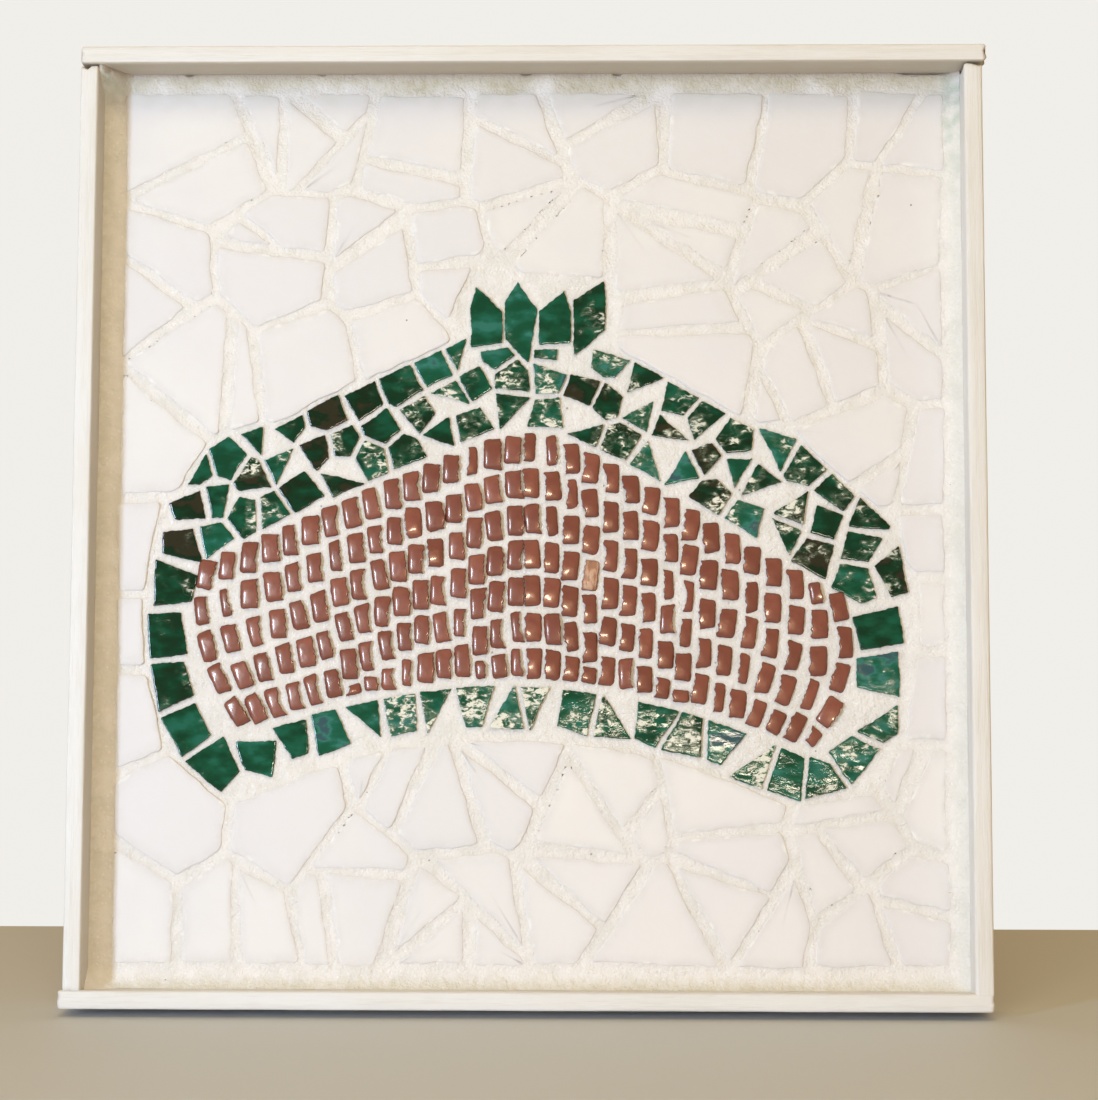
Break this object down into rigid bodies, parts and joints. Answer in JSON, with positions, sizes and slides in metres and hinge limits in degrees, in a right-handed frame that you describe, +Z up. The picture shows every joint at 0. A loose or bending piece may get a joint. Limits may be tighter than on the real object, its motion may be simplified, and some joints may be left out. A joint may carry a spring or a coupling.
{
  "type": "mosaic panel",
  "caption": "Shallow framed mosaic wall panel: an arched band of small brown tiles with a green glass border, set in white crazy paving inside four painted strips.",
  "frame": {"origin": "the middle of the flat back face", "axes": "+Z up the panel, +X to the viewer's right, and the tiled face looks along -Y"},
  "size_m": [0.308, 0.0254, 0.3234],
  "materials": {
    "white_paint": "brushed satin white paint on wood, yellowed and chipped at the corners",
    "board": "bare plywood",
    "grout": "matt cream cement grout with fine sparkling sand",
    "white_glass": "opaque white glass, glossy and slightly wavy",
    "green_glass": "streaky opaque green glass with a hammered iridescent face",
    "brown_glaze": "glossy reddish-brown glaze over a pillowed tile"
  },
  "bodies": {
    "root": {"frame_rail_top": "white_paint", "frame_rail_bottom": "white_paint", "frame_stile_left": "white_paint", "frame_stile_right": "white_paint", "backing_board": "board", "grout_bed": "grout", "white_shard_01": "white_glass", "white_shard_02": "white_glass", "white_shard_03": "white_glass", "white_shard_04": "white_glass", "white_shard_05": "white_glass", "white_shard_06": "white_glass", "white_shard_07": "white_glass", "white_shard_08": "white_glass", "white_shard_09": "white_glass", "white_shard_10": "white_glass", "white_shard_11": "white_glass", "white_shard_12": "white_glass", "white_shard_13": "white_glass", "white_shard_14": "white_glass", "white_shard_15": "white_glass", "white_shard_16": "white_glass", "white_shard_17": "white_glass", "white_shard_18": "white_glass", "white_shard_19": "white_glass", "white_shard_20": "white_glass", "white_shard_21": "white_glass", "white_shard_22": "white_glass", "white_shard_23": "white_glass", "white_shard_24": "white_glass", "white_shard_25": "white_glass", "white_shard_26": "white_glass", "white_shard_27": "white_glass", "white_shard_28": "white_glass", "white_shard_29": "white_glass", "white_shard_30": "white_glass", "white_shard_31": "white_glass", "white_shard_32": "white_glass", "white_shard_33": "white_glass", "white_shard_34": "white_glass", "white_shard_35": "white_glass", "white_shard_36": "white_glass", "white_shard_37": "white_glass", "white_shard_38": "white_glass", "white_shard_39": "white_glass", "white_shard_40": "white_glass", "white_shard_41": "white_glass", "white_shard_42": "white_glass", "white_shard_43": "white_glass", "white_shard_44": "white_glass", "white_shard_45": "white_glass", "white_shard_46": "white_glass", "white_shard_47": "white_glass", "white_shard_48": "white_glass", "white_shard_49": "white_glass", "white_shard_50": "white_glass", "white_shard_51": "white_glass", "white_shard_52": "white_glass", "white_shard_53": "white_glass", "white_shard_54": "white_glass"}
  },
  "joints": []
}
